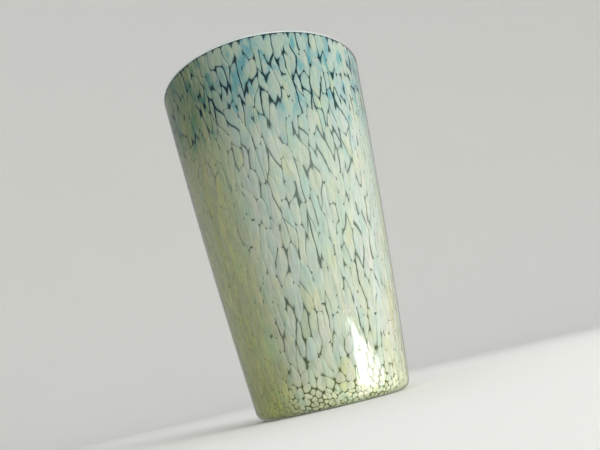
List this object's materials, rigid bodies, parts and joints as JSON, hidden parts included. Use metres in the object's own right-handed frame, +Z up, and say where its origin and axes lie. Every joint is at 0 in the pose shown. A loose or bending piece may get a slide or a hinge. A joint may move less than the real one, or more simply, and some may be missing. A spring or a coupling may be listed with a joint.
{
  "type": "vase",
  "caption": "Hand blown tapered beaker vase of cased glass, with stretched spots of coloured frit sealed between two clear gathers, a rounded heel and a thick foot.",
  "frame": {"origin": "centre of the foot, on the surface that the vase stands on", "axes": "+Z up along the vase's own axis, towards the mouth; the vase is round, so +X and +Y are free"},
  "size_m": [0.1578, 0.1578, 0.25],
  "materials": {
    "casing_glass": "clear glass, fire polished, slightly wavy",
    "gather_glass": "deep sea green transparent glass, fire polished inside",
    "punty_glass": "clear glass, ground and polished to a shallow dish",
    "opal_cream_frit": "opaque opal glass frit, streaked",
    "sea_green_frit": "opal glass frit, sea green",
    "sky_blue_frit": "opal glass frit, sky blue",
    "lavender_frit": "opal glass frit, grey lavender",
    "pale_yellow_frit": "opal glass frit, pale yellow green",
    "amber_frit": "opal glass frit, olive amber"
  },
  "bodies": {
    "root": {"outer_casing": "casing_glass", "first_gather": "gather_glass", "punty_glass": "punty_glass", "frit_opal_cream": "opal_cream_frit", "frit_sea_green": "sea_green_frit", "frit_sky_blue": "sky_blue_frit", "frit_lavender": "lavender_frit", "frit_pale_yellow": "pale_yellow_frit", "frit_amber": "amber_frit"}
  },
  "joints": []
}
